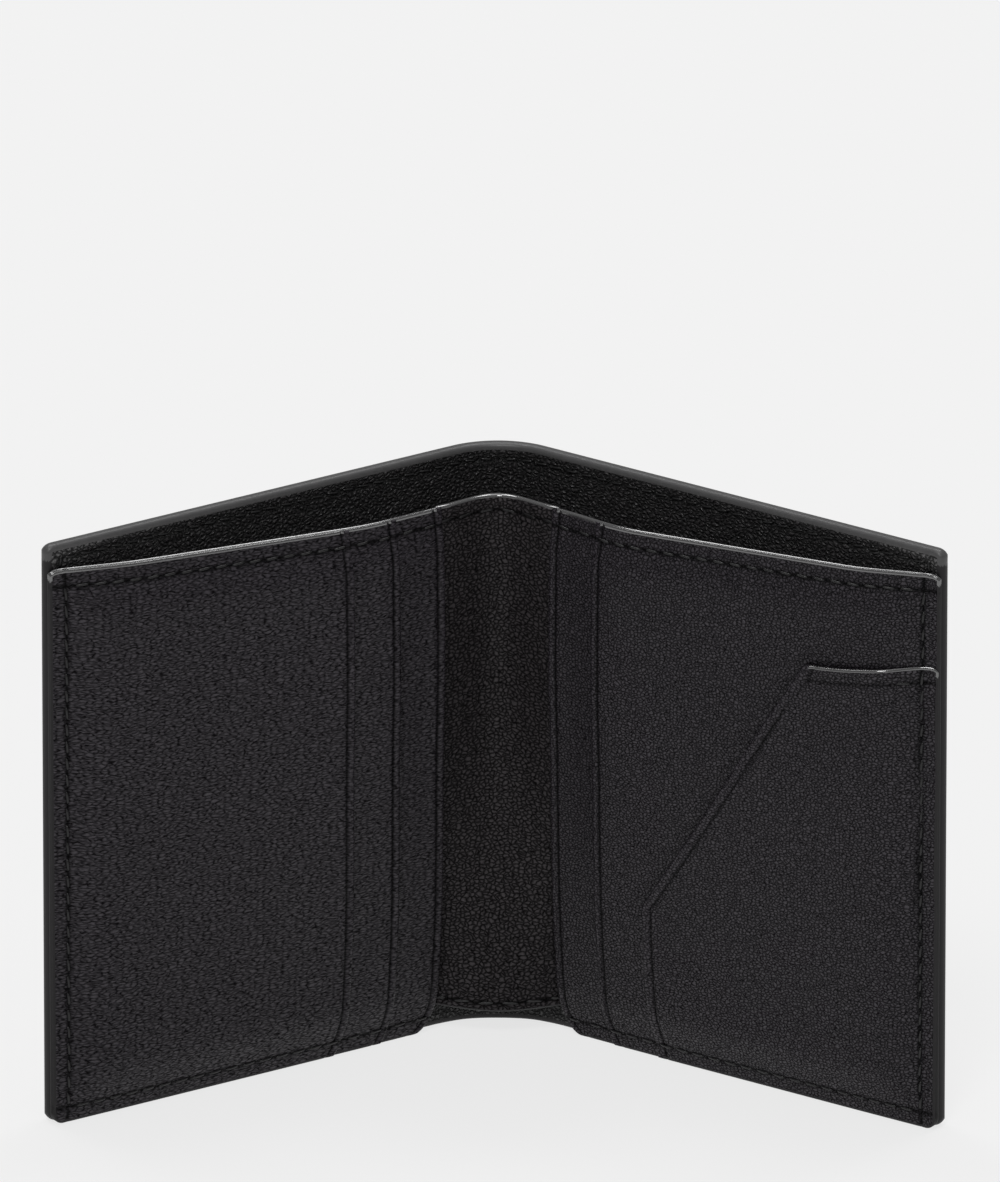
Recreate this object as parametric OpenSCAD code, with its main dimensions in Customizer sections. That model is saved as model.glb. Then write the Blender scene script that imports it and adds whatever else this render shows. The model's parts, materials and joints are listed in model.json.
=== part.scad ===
// Bifold wallet standing open: a lined leather cover with a folding spine, a bill
// compartment behind a sewn divider, and card pockets on both wings.
// Millimetres, +Z up, spine towards +Y, origin at the middle of the bottom.

/* [Cover] */
// Height of the cover from its bottom edge to its top edge
cover_h = 112; // [104:0.5:120]
// Length of each wing from its fold line to its outer edge
wing_len = 88; // [86:0.5:94]
// Distance between the two fold lines of the spine
spine_w = 16; // [15:0.5:20]
// Turn of each wing from the spine's plane at rest
rest_angle = 34; // [28:1:40]
// Thickness of the outer leather
leather_t = 1.4; // [1.2:0.1:1.6]
// Thickness of the lining inside the cover
lining_t = 1.2; // [0.9:0.1:1.4]
// Radius of the outer corners
corner_r = 2; // [1:0.5:4]

/* [Folding] */
// Turn of each wing from rest until the divider pulls tight
open_turn = 8; // [4:1:10]
// Clearance left at each fold line
fold_gap = 0.1; // [0.05:0.05:0.3]
// Angle cut back at each fold line beyond the turn it needs
fold_relief = 2; // [1:1:5]

/* [Divider] */
// Turn of each inner panel away from its wing at rest
swing = 10.7; // [6:0.1:12]
// Distance from the fold line to a panel's inner end, laid flat
panel_gap = 11.2; // [10:0.2:14]
// Distance from the outer edge to the line a panel swings about
pivot_inset = 0.8; // [0.8:0.1:1.5]
// Clearance between a panel laid flat and the cover's lining
panel_clear = 0.35; // [0.2:0.05:0.6]
// Height of a panel's lower edge above the cover's bottom edge
panel_lift = 0.6; // [0.3:0.1:2]
// Distance of the divider's top edge below the cover's top edge
divider_drop = 3.9; // [3:0.1:8]
// Thickness of the divider's leather
divider_t = 0.9; // [0.7:0.1:1.1]
// Thickness of the bill lining behind the divider
bill_lining_t = 0.5; // [0.3:0.1:0.6]
// Height of the bill lining's hem on the cover
hem_h = 4; // [3:0.5:6]
// Height where the bill lining meets the divider's back
lean_top = 78; // [60:1:95]
// Depth of the hump in the strip between the two panels
strip_hump = 6.8; // [4:0.2:7.5]
// Height of the strip's lower edge
strip_bottom = 5; // [3:0.5:10]
// Clearance between the strip and the ends of the two panels
strip_gap = 0.8; // [0.6:0.1:1.2]
// Distance of the bill lining's inner end from the panel's inner end
lining_inset = 1.2; // [1:0.1:3]
// Clearance between the bill lining and the divider's back
lining_clear = 0.05; // [0.02:0.01:0.2]

/* [Pockets] */
// Thickness of a pocket's leather
pocket_t = 0.8; // [0.6:0.1:0.9]
// Step between the edges of neighbouring pockets
pocket_step = 9.7; // [8:0.1:10]
// Width of the slip pocket at its foot
slip_w = 55.7; // [54:0.1:60]
// Height of the slip pocket's top edge
slip_h = 90; // [80:0.5:96]
// Width of the slip pocket's top edge
slip_top_w = 23.3; // [18:0.1:30]
// Height where the slip pocket's cut corner ends
slip_cut_z = 31; // [24:0.5:40]

/* [Stitching] */
// Distance of a seam from the edge it follows
seam_inset = 3; // [2:0.1:4]
// Distance of the row along the strip's lower edge from that edge
strip_seam_inset = 1.8; // [1.2:0.1:3]
// Distance from one stitch to the next
stitch_pitch = 3.2; // [2.4:0.1:4]
// Length of one stitch
stitch_len = 2.3; // [1.6:0.1:2.4]
// Width of the thread
thread_w = 0.6; // [0.4:0.1:0.8]

/* [Hidden] */
$fn = 40;

// The spine is an arc that leaves each fold line in the direction of its wing
close_turn = 90 - rest_angle;
cover_t = leather_t + lining_t;
spine_r = spine_w / 2 / sin(rest_angle);
face_in = cover_t / 2;
glue_v = face_in - lining_t;

// Panel frame: x = 0 on the outer seam's swing line, y outward from the panel's back
pivot_u = wing_len - pivot_inset;
pivot_v = face_in + panel_clear;
panel_len = pivot_u - panel_gap;
panel_top = cover_h - divider_drop;
divider_y = bill_lining_t;
back_y = divider_y + divider_t;
middle_y = back_y + pocket_t;
front_y = middle_y + pocket_t;
stack_t = front_y + pocket_t;
middle_len = panel_len - pocket_step;
front_len = middle_len - pocket_step;
seam_x = pivot_inset - seam_inset;

// The strip's leather runs through the middle of each panel's divider, seen from above
end_u = pivot_u - panel_len * cos(swing) + (divider_y + divider_t / 2) * sin(swing);
end_v = pivot_v + panel_len * sin(swing) + (divider_y + divider_t / 2) * cos(swing);
end_x = spine_w / 2 + end_u * cos(rest_angle) - end_v * sin(rest_angle);
end_y = -end_u * sin(rest_angle) - end_v * cos(rest_angle);
strip_r = (end_x * end_x + strip_hump * strip_hump) / (2 * strip_hump);
strip_y = end_y + strip_hump - strip_r;
strip_half = acos((strip_r - strip_hump) / strip_r) - strip_gap / strip_r * 180 / PI;

// Front and back of the whole, from which its middle is found
back_most = spine_r * (1 - cos(rest_angle)) + face_in + thread_w / 2;
front_most = -(pivot_u + stack_t * sin(swing)) * sin(rest_angle)
    - (pivot_v + stack_t * cos(swing)) * cos(rest_angle);
mid_y = (back_most + front_most) / 2;

leather_col = [0.16, 0.16, 0.17];
lining_col = [0.10, 0.10, 0.11];
thread_col = [0.05, 0.05, 0.05];

// Left wing frame: x along the wing from its fold line, y towards the inside
module on_left()
    translate([-spine_w / 2, -mid_y, 0]) rotate([0, 0, 180 + rest_angle]) children();

module on_right() mirror([1, 0, 0]) on_left() children();

module on_panel() translate([pivot_u, pivot_v, 0]) rotate([0, 0, -swing]) children();

// Frame of the spine's arc, whose axis is vertical
module on_spine()
    translate([0, -mid_y - spine_r * cos(rest_angle), 0]) children();

// Stands a flat outline upright between two depths
module upright(y0, y1) translate([0, y1, 0]) rotate([90, 0, 0]) linear_extrude(y1 - y0) children();

// Rectangle whose two corners at x1 are rounded
module outer_rounded(x0, x1, z0, z1) {
    r = corner_r;
    translate([x0, z0]) square([x1 - r - x0, z1 - z0]);
    translate([x1 - r, z0 + r]) square([r, z1 - z0 - 2 * r]);
    for (z = [z0 + r, z1 - r]) translate([x1 - r, z]) circle(r);
}

// What is cut from a wing's root, so that it clears the spine when it turns
module fold_cut() {
    inner = cover_t * tan(close_turn + fold_relief);
    outer = cover_t * tan(open_turn + fold_relief);
    translate([0, 0, -1]) linear_extrude(cover_h + 2) polygon([[-1, -cover_t],
        [fold_gap + outer, -cover_t], [fold_gap, 0], [fold_gap + inner, cover_t], [-1, cover_t]]);
}

module wing_layer(v0, v1) difference() {
    upright(v0, v1) outer_rounded(-fold_gap, wing_len, 0, cover_h);
    fold_cut();
}

// Upright sheet along the spine's arc, between two radii
module spine_layer(r0, r1) rotate([0, 0, 90 - rest_angle])
    rotate_extrude(angle = 2 * rest_angle, $fn = 120) translate([r0, 0]) square([r1 - r0, cover_h]);

// Section of a thread lying on the line y = 0
module thread() intersection() {
    circle(thread_w / 2, $fn = 10);
    translate([-thread_w, 0]) square([2 * thread_w, thread_w]);
}

// Stitches along x from x0 to x1 at height z, on the face y
module row_along(x0, x1, z, y) {
    n = floor((x1 - x0) / stitch_pitch);
    for (i = [0:n - 1])
        translate([x0 + (i + 0.5) * (x1 - x0) / n - stitch_len / 2, y, z])
            rotate([0, 90, 0]) linear_extrude(stitch_len) thread();
}

// Stitches up z from z0 to z1 at x, on the face y
module row_up(z0, z1, x, y) {
    n = floor((z1 - z0) / stitch_pitch);
    for (i = [0:n - 1])
        translate([x, y, z0 + (i + 0.5) * (z1 - z0) / n - stitch_len / 2])
            linear_extrude(stitch_len) thread();
}

// Stitches along an arc of radius r about z, bulging outward (1) or inward (-1)
module row_round(r, half_angle, z, way) {
    n = floor(2 * half_angle * PI / 180 * r / stitch_pitch);
    turn = stitch_len / r * 180 / PI;
    for (i = [0:n - 1])
        rotate([0, 0, 90 - half_angle + (i + 0.5) * 2 * half_angle / n - turn / 2])
            rotate_extrude(angle = turn, $fn = 120) translate([r, z]) rotate(-90 * way) thread();
}

module wing_seam() {
    row_along(2 * stitch_pitch, wing_len - seam_inset, cover_h - seam_inset, face_in);
    mirror([0, 1, 0]) {
        for (z = [seam_inset, cover_h - seam_inset])
            row_along(stitch_pitch / 2, wing_len - seam_inset, z, face_in);
        row_up(seam_inset, cover_h - seam_inset, wing_len - seam_inset, face_in);
    }
}

// Sheet of a panel, from the outer seam to its own inner edge
module sheet(len, y0, t)
    on_panel() upright(y0, y0 + t) outer_rounded(-len, 0, panel_lift, panel_top);

// Soft lining that lies on the cover along its hem and on the divider's back higher up
function lean(z) = let (t = max(0, min(1, (z - hem_h) / (lean_top - hem_h)))) t * t * (3 - 2 * t);
function leaned(x, y, z) = let (a = -swing * lean(z))
    [pivot_u + x * cos(a) - y * sin(a), pivot_v + x * sin(a) + y * cos(a), z];

module bill_lining() {
    rows = 11;
    cols = 6;
    x0 = lining_inset - panel_len;
    x1 = -pivot_inset;
    levels = concat([panel_lift, hem_h], [for (i = [1:rows]) hem_h + i * (lean_top - hem_h) / rows],
        [panel_top - 1]);
    top = len(levels) - 1;
    points = [for (z = levels, y = [z > hem_h ? 0 : -panel_clear, bill_lining_t - lining_clear],
        i = [0:cols]) leaned(x0 + i * (x1 - x0) / cols, y, z)];
    function at(row, side, i) = (2 * row + side) * (cols + 1) + i;
    faces = [for (r = [0:top - 1], i = [0:cols - 1], f = [
        [at(r, 0, i), at(r + 1, 0, i), at(r + 1, 0, i + 1)],
        [at(r, 0, i), at(r + 1, 0, i + 1), at(r, 0, i + 1)],
        [at(r, 1, i), at(r + 1, 1, i + 1), at(r + 1, 1, i)],
        [at(r, 1, i), at(r, 1, i + 1), at(r + 1, 1, i + 1)]]) f];
    ends = [for (r = [0:top - 1], f = [
        [at(r, 1, 0), at(r + 1, 1, 0), at(r + 1, 0, 0)],
        [at(r, 1, 0), at(r + 1, 0, 0), at(r, 0, 0)],
        [at(r, 0, cols), at(r + 1, 0, cols), at(r + 1, 1, cols)],
        [at(r, 0, cols), at(r + 1, 1, cols), at(r, 1, cols)]]) f];
    caps = [for (i = [0:cols - 1], f = [
        [at(0, 0, i), at(0, 0, i + 1), at(0, 1, i + 1), at(0, 1, i)],
        [at(top, 1, i), at(top, 1, i + 1), at(top, 0, i + 1), at(top, 0, i)]]) f];
    polyhedron(points, concat(faces, ends, caps));
}

module slip_outline() intersection() {
    outer_rounded(-panel_len, 0, panel_lift, panel_top);
    polygon([[1, 0], [-slip_w, 0], [-slip_w, slip_cut_z], [-slip_top_w, slip_h], [1, slip_h]]);
}

// One row across three stepped pockets: outermost sheet first, each to its own inner edge
module stepped_row(first_len, second_len, z) {
    margin = 0.5;
    row_along(-first_len + margin, seam_x - stitch_pitch / 2, z, stack_t);
    row_along(-second_len + margin, -first_len - margin, z, front_y);
    row_along(-panel_len + margin, -second_len - margin, z, middle_y);
}

module strip_layer(r0, r1)
    translate([0, strip_y - mid_y, strip_bottom]) rotate([0, 0, 90 - strip_half])
        rotate_extrude(angle = 2 * strip_half, $fn = 120)
            translate([r0, 0]) square([r1 - r0, panel_top - strip_bottom]);

module cover_spine() color(leather_col) on_spine() spine_layer(spine_r - glue_v, spine_r + face_in);

module lining_spine() color(lining_col) on_spine() spine_layer(spine_r - face_in, spine_r - glue_v);

module spine_seam() color(thread_col) on_spine() {
    row_round(spine_r - face_in, rest_angle, cover_h - seam_inset, -1);
    for (z = [seam_inset, cover_h - seam_inset]) row_round(spine_r + face_in, rest_angle, z, 1);
}

module divider_spine()
    color(leather_col) strip_layer(strip_r - divider_t / 2, strip_r + divider_t / 2);

module divider_spine_lining()
    color(lining_col) strip_layer(strip_r + divider_t / 2, strip_r + divider_t / 2 + bill_lining_t);

module divider_spine_seam() color(thread_col) translate([0, strip_y - mid_y, 0])
    for (z = [strip_bottom + strip_seam_inset, panel_top - seam_inset])
        row_round(strip_r - divider_t / 2, strip_half, z, -1);

module cover_left() color(leather_col) on_left() wing_layer(-face_in, glue_v);

module cover_right() color(leather_col) on_right() wing_layer(-face_in, glue_v);

module lining_left() color(lining_col) on_left() wing_layer(glue_v, face_in);

module lining_right() color(lining_col) on_right() wing_layer(glue_v, face_in);

module left_cover_seam() color(thread_col) on_left() wing_seam();

module right_cover_seam() color(thread_col) on_right() wing_seam();

module bill_lining_left() color(lining_col) on_left() bill_lining();

module bill_lining_right() color(lining_col) on_right() bill_lining();

module divider_left() color(leather_col) on_left() sheet(panel_len, divider_y, divider_t);

module divider_right() color(leather_col) on_right() sheet(panel_len, divider_y, divider_t);

module left_back_pocket() color(leather_col) on_left() sheet(panel_len, back_y, pocket_t);

module left_middle_pocket() color(leather_col) on_left() sheet(middle_len, middle_y, pocket_t);

module left_front_pocket() color(leather_col) on_left() sheet(front_len, front_y, pocket_t);

module right_back_pocket() color(leather_col) on_right() sheet(panel_len, back_y, pocket_t);

module right_front_pocket() color(leather_col) on_right() sheet(middle_len, middle_y, pocket_t);

module slip_pocket() color(leather_col) on_right() on_panel()
    upright(front_y, front_y + pocket_t) slip_outline();

module left_edge_seam() color(thread_col) on_left() on_panel() {
    row_up(panel_lift + seam_inset, panel_top - seam_inset, seam_x, stack_t);
    stepped_row(front_len, middle_len, panel_lift + seam_inset);
}

module left_top_seam() color(thread_col) on_left() on_panel()
    stepped_row(front_len, middle_len, panel_top - seam_inset);

module right_edge_seam() color(thread_col) on_right() on_panel() {
    row_up(panel_lift + seam_inset, slip_h - seam_inset, seam_x, stack_t);
    row_up(slip_h + thread_w, panel_top - seam_inset, seam_x, front_y);
    stepped_row(slip_w, middle_len, panel_lift + seam_inset);
}

module right_top_seam() color(thread_col) on_right() on_panel() {
    z = panel_top - seam_inset;
    row_along(-middle_len + 0.5, seam_x - stitch_pitch / 2, z, front_y);
    row_along(-panel_len + 0.5, -middle_len - 0.5, z, middle_y);
}

module slip_pocket_seam() color(thread_col) on_right() on_panel()
    row_along(-slip_top_w, seam_x - stitch_pitch / 2, slip_h - seam_inset, stack_t);

cover_spine();
lining_spine();
spine_seam();
divider_spine();
divider_spine_lining();
divider_spine_seam();
cover_left();
lining_left();
left_cover_seam();
bill_lining_left();
divider_left();
left_back_pocket();
left_middle_pocket();
left_front_pocket();
left_edge_seam();
left_top_seam();
cover_right();
lining_right();
right_cover_seam();
bill_lining_right();
divider_right();
right_back_pocket();
right_front_pocket();
slip_pocket();
right_edge_seam();
right_top_seam();
slip_pocket_seam();
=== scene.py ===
"""Bifold wallet standing open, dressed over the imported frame.

All sizes are millimetres until mesh_object() turns them into metres. The left half is
computed and the right half is its mirror image in X. Sheets are grids over two parameters,
s along the leather and z up, pushed out to a front and a back face and closed round the edge.
"""
import json
import math

import bmesh
import bpy
import numpy as np
from mathutils import Matrix, Vector


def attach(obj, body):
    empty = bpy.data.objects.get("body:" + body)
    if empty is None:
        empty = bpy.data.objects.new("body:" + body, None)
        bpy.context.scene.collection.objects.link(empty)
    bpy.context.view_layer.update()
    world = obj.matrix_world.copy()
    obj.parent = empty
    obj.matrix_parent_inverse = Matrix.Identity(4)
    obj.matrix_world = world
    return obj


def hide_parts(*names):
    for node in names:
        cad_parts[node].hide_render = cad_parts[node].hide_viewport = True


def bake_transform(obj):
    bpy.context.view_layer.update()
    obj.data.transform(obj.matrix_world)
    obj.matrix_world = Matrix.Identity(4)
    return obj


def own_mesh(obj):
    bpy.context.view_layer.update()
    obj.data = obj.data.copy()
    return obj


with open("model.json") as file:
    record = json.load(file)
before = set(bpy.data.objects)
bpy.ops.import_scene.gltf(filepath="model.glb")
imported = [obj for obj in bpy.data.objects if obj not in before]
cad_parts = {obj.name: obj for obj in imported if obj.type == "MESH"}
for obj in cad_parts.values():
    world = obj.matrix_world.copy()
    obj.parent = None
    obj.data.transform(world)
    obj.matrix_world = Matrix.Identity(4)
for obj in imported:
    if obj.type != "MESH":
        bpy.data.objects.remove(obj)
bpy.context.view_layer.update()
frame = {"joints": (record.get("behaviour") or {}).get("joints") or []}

# Sizes of the solids, but for PANEL_TOP and SLIP_CUT, which are fitted closer to the photograph
COVER_H, COVER_T, WING, FOLD_X = 112.0, 2.6, 88.0, 8.0
REST = math.radians(34.0)
SWING = math.radians(10.7)
SPINE_R = FOLD_X / math.sin(REST)
ARC = SPINE_R * REST
PIVOT_U, PIVOT_V = 87.2, 1.65
PANEL, STEP, PANEL_TOP = 76.0, 9.7, 107.6
SLIP_W, SLIP_TOP_W, SLIP_H, SLIP_CUT = 55.7, 23.3, 90.0, 33.5
SEAM, PITCH, CORNER = 3.0, 3.2, 2.0
joint = {j["name"]: j for j in frame["joints"]}
FOLD_Y = 1000.0 * joint["left_fold"]["pos_m"][1]

# End of the cover and its outer stitch row, from the spine's middle, and a panel's outer row, from
# its pivot line, which is 0.8 inside that end
COVER_END = ARC + WING
COVER_ROW = COVER_END - SEAM
SIDE_ROW = SEAM - 0.8

# Where a panel sheet starts: past the pivot line and above the ground
OUTER, FOOT = -0.7, 0.15

# Heights between which a panel leans from its sewn foot to its full swing
LEAN_LOW, LEAN_HIGH = -10.0, 78.0

# The spine is flatter at its foot by SPINE_FLAT, out to SPINE_REACH from its middle
SPINE_FLAT, SPINE_REACH = 1.7, 14.0

# Below REACH_TOP a panel reaches up to FOOT_REACH further towards the spine
FOOT_REACH, REACH_TOP = 4.6, 70.0

# A panel's bulge rises over BULGE_RUN from its outer edge and falls over it from BULGE_END on. From
# CURL_START on the panel curls back, by CURL at its inner edge
BULGE = {"left": 1.5, "right": 2.4}
BULGE_RUN, BULGE_END = 18.0, 58.0
CURL, CURL_START, CURL_MOST = 1.5, 54.0, 1.2

# Front and back edge radii of the panel sheets, the cover and the strip, and the share of a radius
# from the border that counts as edge
EDGE_RADII, COVER_RADII, STRIP_RADII = (0.42, 0.2), (1.0, 1.2), (0.5, 0.5)
EDGE_SHARE = 0.98

# Depth and width of the groove along a seam, its depth on the cover, and the painted shade in it
SEAM_DEEP, SEAM_WIDE, COVER_DEEP, SEAM_PAINTED_SHADE = 0.12, 0.5, 0.13, 0.96

# Height for the top of a sheet that isn't sewn down there, and a distance beyond any groove
NO_TOP, FAR = 999.0, 9.0


def smooth(t):
    """Smoothstep: 3 t^2 - 2 t^3 between 0 and 1."""
    t = np.clip(t, 0.0, 1.0)
    return t * t * (3.0 - 2.0 * t)


def wing_point(u, v, z):
    """Left wing: u from the fold line to the outer edge, v from the cover's middle inward."""
    x = -FOLD_X - u * math.cos(REST) + v * math.sin(REST)
    y = FOLD_Y - u * math.sin(REST) - v * math.cos(REST)
    return np.stack(np.broadcast_arrays(x, y, z), -1)


def cover_point(t, v, z):
    """Left half of the cover: an arc of radius SPINE_R for t < ARC, then the straight wing.
    The spine is a little flatter at its foot."""
    t, v, z = np.broadcast_arrays(t, v, z)
    b = np.minimum(t, ARC) / SPINE_R
    arc = np.stack([-(SPINE_R - v) * np.sin(b),
                    FOLD_Y + (SPINE_R - v) * np.cos(b) - SPINE_R * math.cos(REST), z], -1)
    out = np.where((t < ARC)[..., None], arc, wing_point(t - ARC, v, z))
    out[..., 1] -= SPINE_FLAT * (1.0 - z / COVER_H) * (1.0 - smooth(t / SPINE_REACH))
    return out


def skew(s, z):
    """Extra length towards the spine near the foot, where the leather is not pulled back."""
    return FOOT_REACH * smooth(1.0 - z / REACH_TOP) * smooth(s / PANEL)


def panel_point(s, q, z, bulge=BULGE["left"]):
    """Left panel: s from the outer seam towards the spine, q forward from the panel's back.
    It turns about the outer seam by SWING times a smoothstep of the height, bulges forward
    between its ends and curls back at the inner one."""
    s, q, z = np.broadcast_arrays(s, q, z)
    w = smooth((z - LEAN_LOW) / (LEAN_HIGH - LEAN_LOW))
    a = SWING * w
    p = s + skew(s, z)
    q = q + bulge * w * smooth((s - OUTER) / BULGE_RUN) * (1.0 - smooth((s - BULGE_END) / BULGE_RUN))
    q = q - CURL * w * np.clip((s - CURL_START) / (PANEL - CURL_START), 0.0, CURL_MOST) ** 2
    u = PIVOT_U - p * np.cos(a) + q * np.sin(a)
    v = PIVOT_V + p * np.sin(a) + q * np.cos(a)
    return wing_point(u, v, z)


def panel_place(side):
    """panel_point() with the bulge of one side."""
    return lambda s, q, z: panel_point(s, q, z, BULGE[side])


def mesh_object(name, verts, quads, uvs, slots, mats, mirrored, marks=None):
    """Object from arrays in millimetres; coincident border points are welded.
    marks holds point values that the materials read, such as painted shade in creases."""
    verts = np.array(verts, float) * 0.001
    quads = np.array(quads, np.int32)
    uvs = np.array(uvs, float)
    if mirrored:
        verts[:, 0] *= -1.0
        uvs[:, 0] *= -1.0
        quads = quads[:, ::-1]
    mesh = bpy.data.meshes.new(name)
    mesh.vertices.add(len(verts))
    mesh.vertices.foreach_set("co", verts.ravel())
    mesh.loops.add(quads.size)
    mesh.loops.foreach_set("vertex_index", quads.ravel())
    mesh.polygons.add(len(quads))
    mesh.polygons.foreach_set("loop_start", np.arange(0, quads.size, 4, dtype=np.int32))
    mesh.polygons.foreach_set("material_index", np.array(slots, np.int32))
    mesh.polygons.foreach_set("use_smooth", np.ones(len(quads), bool))
    layer = mesh.uv_layers.new(name="UVMap")
    layer.data.foreach_set("uv", uvs[quads.ravel()].ravel())
    for key, values in (marks or {}).items():
        mark = mesh.attributes.new(key, "FLOAT", "POINT")
        mark.data.foreach_set("value", np.ascontiguousarray(values, np.float32))
    for mat in mats:
        mesh.materials.append(mat)
    mesh.update(calc_edges=True)
    weld = bmesh.new()
    weld.from_mesh(mesh)
    bmesh.ops.remove_doubles(weld, verts=weld.verts, dist=1e-7)
    weld.to_mesh(mesh)
    weld.free()
    mesh.validate()
    ob = bpy.data.objects.new(name, mesh)
    bpy.context.scene.collection.objects.link(ob)
    return ob


def grid_quads(rows, cols, start=0, flip=False):
    """Quads of a grid of points numbered row by row from start."""
    i = np.arange(rows * cols, dtype=np.int32).reshape(rows, cols) + start
    q = np.stack([i[:-1, :-1], i[:-1, 1:], i[1:, 1:], i[1:, :-1]], -1).reshape(-1, 4)
    return q[:, ::-1] if flip else q


def round_edge(D, r):
    """Quarter-round profile: 0 on the border, 1 from the distance r inwards."""
    return np.sqrt(np.clip(1.0 - (1.0 - np.clip(D / r, 0.0, 1.0)) ** 2, 0.0, 1.0))


def closed_sheet(name, place, S, Z, front, back, D, radii, mats, mirrored,
                 bare=None, line=None, flat=None, gleam=None):
    """Sheet between the depths front and back, D being the distance from the border. Each face
    closes to a meeting depth with its own edge radius, the meeting depth dividing the
    thickness in the ratio of the radii. Edge faces take the third material, or the face's
    own where bare says so, or the fourth, a lighter one painted as light on a top edge, where
    gleam does. line darkens the front with painted shade and flat smooths its grain."""
    r_front, r_back = radii
    meet = (front * r_back + back * r_front) / (r_front + r_back)
    F = place(S, meet + (front - meet) * round_edge(D, r_front), Z)
    B = place(S, meet + (back - meet) * round_edge(D, r_back), Z)
    rows, cols = S.shape
    n = rows * cols
    quads = np.concatenate([grid_quads(rows, cols, 0, True), grid_quads(rows, cols, n)])
    uv = np.stack([S, Z], -1).reshape(-1, 2)
    half = len(quads) // 2
    own = np.zeros(n, bool) if bare is None else bare.ravel()
    edge = [(D.ravel()[q % n] < EDGE_SHARE * r).any(1) & ~own[q % n].any(1)
            for q, r in ((quads[:half], r_front), (quads[half:], r_back))]
    shiny = np.zeros(n, bool) if gleam is None else gleam.ravel()
    slots = np.concatenate([np.where(edge[0], np.where(shiny[quads[:half] % n].any(1), 3, 2), 0),
                            np.where(edge[1], np.where(shiny[quads[half:] % n].any(1), 3, 2), 1)])
    zero = np.zeros(n)
    marks = {key: np.concatenate([zero if m is None else m.ravel(), zero])
             for key, m in (("line", line), ("flat", flat))}
    return mesh_object(name, np.concatenate([F.reshape(-1, 3), B.reshape(-1, 3)]), quads,
                       np.concatenate([uv, uv]), slots, mats, mirrored, marks)


def ticks(a, b, step, *extra):
    """Even ticks from a to b, with extra ones put in."""
    n = max(2, int(round((b - a) / step)) + 1)
    t = np.concatenate([np.linspace(a, b, n)] + [np.atleast_1d(x) for x in extra])
    return np.unique(np.round(t[(t >= a - 1e-9) & (t <= b + 1e-9)], 4))


def corner_cut(c):
    """Height that a round corner of radius CORNER takes off, c past the start of its arc."""
    c = np.clip(c, 0.0, CORNER)
    return CORNER - np.sqrt(np.maximum(CORNER * CORNER - c * c, 0.0))


# Ticks that follow a rounded edge of radius 1, and those across a seam's groove
ROUND = np.array([0.0, 0.03, 0.12, 0.29, 0.55, 1.0])
GROOVE = np.array([-1.0, -0.6, -0.3, 0.0, 0.3, 0.6, 1.0])


def dent(d, width):
    """Bell of height 1: exp(-(d / width)^2)."""
    return np.exp(-(d / width) ** 2)


# Materials
def group(name, inputs, outputs):
    """Empty shader group with its sockets, its input node and its output node."""
    g = bpy.data.node_groups.new(name, "ShaderNodeTree")
    for kind, socket, value in inputs:
        added = g.interface.new_socket(name=socket, in_out="INPUT", socket_type=kind)
        added.default_value = value
    for kind, socket in outputs:
        g.interface.new_socket(name=socket, in_out="OUTPUT", socket_type=kind)
    return g, g.nodes.new("NodeGroupInput"), g.nodes.new("NodeGroupOutput")


def node(tree, kind, links=(), **values):
    """New node; values set its properties or sockets, links join sockets into it."""
    n = tree.nodes.new(kind)
    for key, value in values.items():
        if hasattr(n, key):
            setattr(n, key, value)
        else:
            n.inputs[key.replace("_", " ")].default_value = value
    for socket, source in links:
        tree.links.new(source, n.inputs[socket])
    return n


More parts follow.
